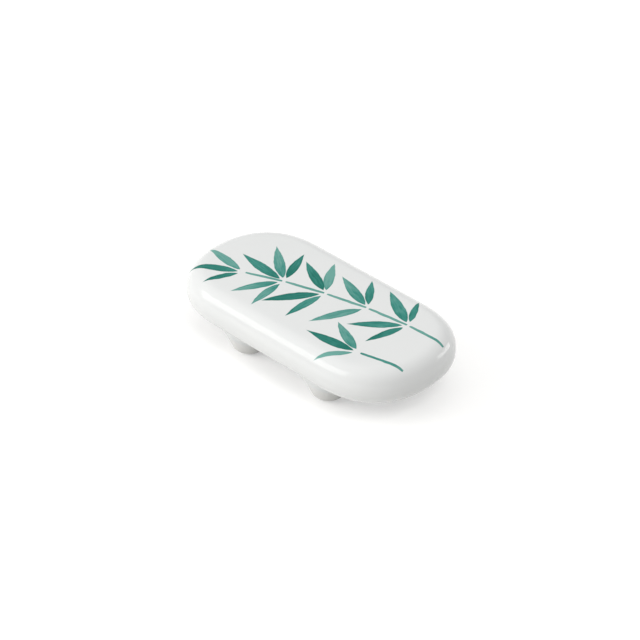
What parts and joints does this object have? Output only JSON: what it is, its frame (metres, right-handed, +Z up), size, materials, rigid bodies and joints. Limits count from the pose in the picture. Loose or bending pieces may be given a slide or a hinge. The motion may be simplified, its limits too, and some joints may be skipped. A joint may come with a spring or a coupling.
{
  "type": "chopstick rest",
  "caption": "Oblong white porcelain tablet with round edges and painted leaves, standing on short tapered feet, which holds chopstick tips off the table.",
  "frame": {"origin": "on the table, under the centre of the tablet", "axes": "+X along the tablet, -Y towards its front, +Z up"},
  "size_m": [0.065, 0.0328, 0.0144],
  "materials": {
    "tablet_glaze": "gloss",
    "foot_glaze": "gloss",
    "fired_slip": "satin"
  },
  "bodies": {
    "root": {"tablet_body": "tablet_glaze", "foot_front_left": "foot_glaze", "foot_front_right": "foot_glaze", "foot_back_left": "foot_glaze", "foot_back_right": "foot_glaze", "slip_bed_front_left": "fired_slip", "slip_bed_front_right": "fired_slip", "slip_bed_back_left": "fired_slip", "slip_bed_back_right": "fired_slip"}
  },
  "joints": []
}
